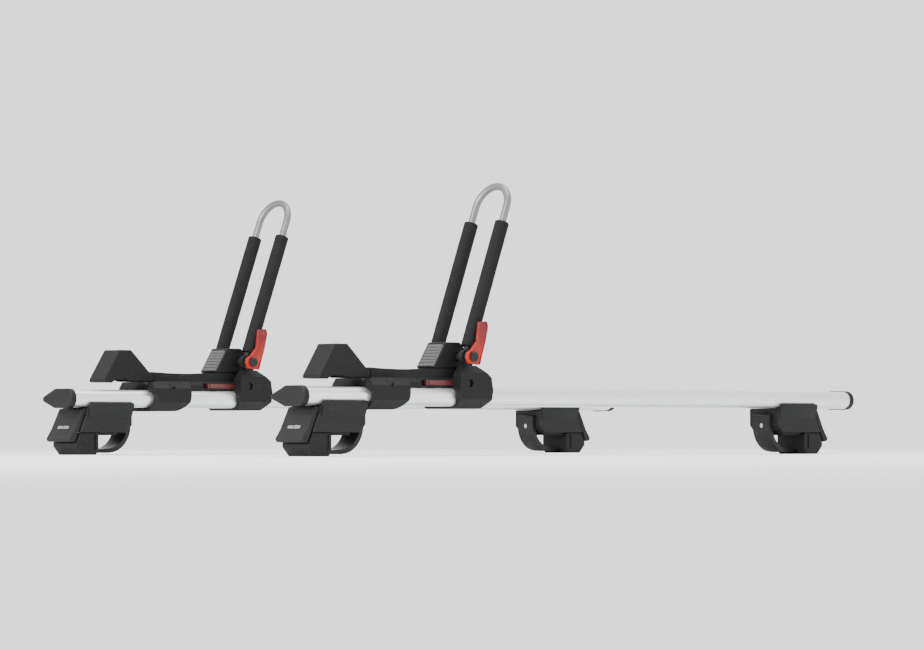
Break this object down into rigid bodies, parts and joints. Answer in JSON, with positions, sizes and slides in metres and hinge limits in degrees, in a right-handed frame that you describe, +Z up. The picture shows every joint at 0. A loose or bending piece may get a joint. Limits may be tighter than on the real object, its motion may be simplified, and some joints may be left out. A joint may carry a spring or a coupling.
{
  "type": "roof rack with folding boat cradles",
  "caption": "Aero crossbar roof rack on rail towers, each bar carrying a folding padded hoop cradle that holds a long hull on its side.",
  "frame": {"origin": "bottom centre of the whole outline, at the level of the towers' feet", "axes": "+X across the vehicle from the near side, where the cradles are, to the far side; -Y faces forward, along the blunt edges of the bars; +Z up"},
  "size_m": [1.29, 0.7114, 0.4488],
  "materials": {
    "bar_aluminium": "satin anodised",
    "black_plastic": "fine moulded grain",
    "black_rubber": "matte",
    "grey_rubber": "matte, ribbed",
    "black_foam": "closed-cell foam skin",
    "hoop_steel": "brushed grey",
    "red_plastic": "semi-gloss moulded",
    "black_coated_steel": "powder coat",
    "fastener_steel": "zinc plated",
    "lock_zinc": "satin die-cast"
  },
  "bodies": {
    "root": {"crossbar_front": "bar_aluminium", "slot_strip_front": "black_rubber", "bar_cap_front_near": "black_plastic", "bar_cap_front_far": "black_plastic", "tower_housing_front_near": "black_plastic", "rail_jaw_front_near": "black_plastic", "rail_pad_front_near": "black_rubber", "tower_housing_front_far": "black_plastic", "rail_jaw_front_far": "black_plastic", "rail_pad_front_far": "black_rubber", "cradle_tray_front": "black_plastic", "cradle_wing_front": "black_plastic", "wing_pad_front": "black_foam", "outer_clamp_front": "black_plastic", "inner_clamp_front": "black_plastic", "pivot_housing_front": "black_plastic", "foot_pad_front": "grey_rubber", "pivot_pin_front": "black_coated_steel", "crossbar_rear": "bar_aluminium", "slot_strip_rear": "black_rubber", "bar_cap_rear_near": "black_plastic", "bar_cap_rear_far": "black_plastic", "tower_housing_rear_near": "black_plastic", "rail_jaw_rear_near": "black_plastic", "rail_pad_rear_near": "black_rubber", "tower_housing_rear_far": "black_plastic", "rail_jaw_rear_far": "black_plastic", "rail_pad_rear_far": "black_rubber", "cradle_tray_rear": "black_plastic", "cradle_wing_rear": "black_plastic", "wing_pad_rear": "black_foam", "outer_clamp_rear": "black_plastic", "inner_clamp_rear": "black_plastic", "pivot_housing_rear": "black_plastic", "foot_pad_rear": "grey_rubber", "pivot_pin_rear": "black_coated_steel", "tower_saddles": "black_coated_steel", "clamp_bolts": "fastener_steel", "bar_screws": "fastener_steel", "clamp_cross_bolts": "black_coated_steel"},
    "door_front_near": {"tower_door_front_near": "black_plastic", "lock_core_front_near": "lock_zinc"},
    "claw_front_near": {"rail_claw_front_near": "black_coated_steel"},
    "door_front_far": {"tower_door_front_far": "black_plastic", "lock_core_front_far": "lock_zinc"},
    "claw_front_far": {"rail_claw_front_far": "black_coated_steel"},
    "slide_front": {"lock_slide_front": "red_plastic"},
    "hoop_front": {"hoop_front": "hoop_steel", "foam_sleeves_front": "black_foam"},
    "lever_front": {"release_lever_front": "red_plastic"},
    "door_rear_near": {"tower_door_rear_near": "black_plastic", "lock_core_rear_near": "lock_zinc"},
    "claw_rear_near": {"rail_claw_rear_near": "black_coated_steel"},
    "door_rear_far": {"tower_door_rear_far": "black_plastic", "lock_core_rear_far": "lock_zinc"},
    "claw_rear_far": {"rail_claw_rear_far": "black_coated_steel"},
    "slide_rear": {"lock_slide_rear": "red_plastic"},
    "hoop_rear": {"hoop_rear": "hoop_steel", "foam_sleeves_rear": "black_foam"},
    "lever_rear": {"release_lever_rear": "red_plastic"}
  },
  "joints": [
    {"name": "hoop_fold_front", "type": "hinge", "parent": "root", "child": "hoop_front", "pos_m": [-0.3, -0.29425, 0.16], "axis": [0, -1, 0], "range_deg": [0, 102]},
    {"name": "lever_release_front", "type": "hinge", "parent": "root", "child": "lever_front", "pos_m": [-0.3, -0.29425, 0.16], "axis": [0, 1, 0], "range_deg": [0, 20], "stiffness_Nm_per_rad": 0.3, "springref_deg": -17.19},
    {"name": "lock_slide_front", "type": "slide", "parent": "root", "child": "slide_front", "axis": [-1, 0, 0], "range_m": [0, 0.008]},
    {"name": "door_hinge_front_near", "type": "hinge", "parent": "root", "child": "door_front_near", "pos_m": [-0.6123, -0.29425, 0.074], "axis": [0, 1, 0], "range_deg": [0, 45]},
    {"name": "claw_slide_front_near", "type": "slide", "parent": "root", "child": "claw_front_near", "axis": [1, 0, 0], "range_m": [0, 0.008]},
    {"name": "door_hinge_front_far", "type": "hinge", "parent": "root", "child": "door_front_far", "pos_m": [0.5523, -0.29425, 0.074], "axis": [0, -1, 0], "range_deg": [0, 45]},
    {"name": "claw_slide_front_far", "type": "slide", "parent": "root", "child": "claw_front_far", "axis": [-1, 0, 0], "range_m": [0, 0.008]},
    {"name": "hoop_fold_rear", "type": "hinge", "parent": "root", "child": "hoop_rear", "pos_m": [-0.265, 0.30575, 0.16], "axis": [0, -1, 0], "range_deg": [0, 102]},
    {"name": "lever_release_rear", "type": "hinge", "parent": "root", "child": "lever_rear", "pos_m": [-0.265, 0.30575, 0.16], "axis": [0, 1, 0], "range_deg": [0, 20], "stiffness_Nm_per_rad": 0.3, "springref_deg": -17.19},
    {"name": "lock_slide_rear", "type": "slide", "parent": "root", "child": "slide_rear", "axis": [-1, 0, 0], "range_m": [0, 0.008]},
    {"name": "door_hinge_rear_near", "type": "hinge", "parent": "root", "child": "door_rear_near", "pos_m": [-0.6123, 0.30575, 0.074], "axis": [0, 1, 0], "range_deg": [0, 45]},
    {"name": "claw_slide_rear_near", "type": "slide", "parent": "root", "child": "claw_rear_near", "axis": [1, 0, 0], "range_m": [0, 0.008]},
    {"name": "door_hinge_rear_far", "type": "hinge", "parent": "root", "child": "door_rear_far", "pos_m": [0.5523, 0.30575, 0.074], "axis": [0, -1, 0], "range_deg": [0, 45]},
    {"name": "claw_slide_rear_far", "type": "slide", "parent": "root", "child": "claw_rear_far", "axis": [-1, 0, 0], "range_m": [0, 0.008]}
  ]
}
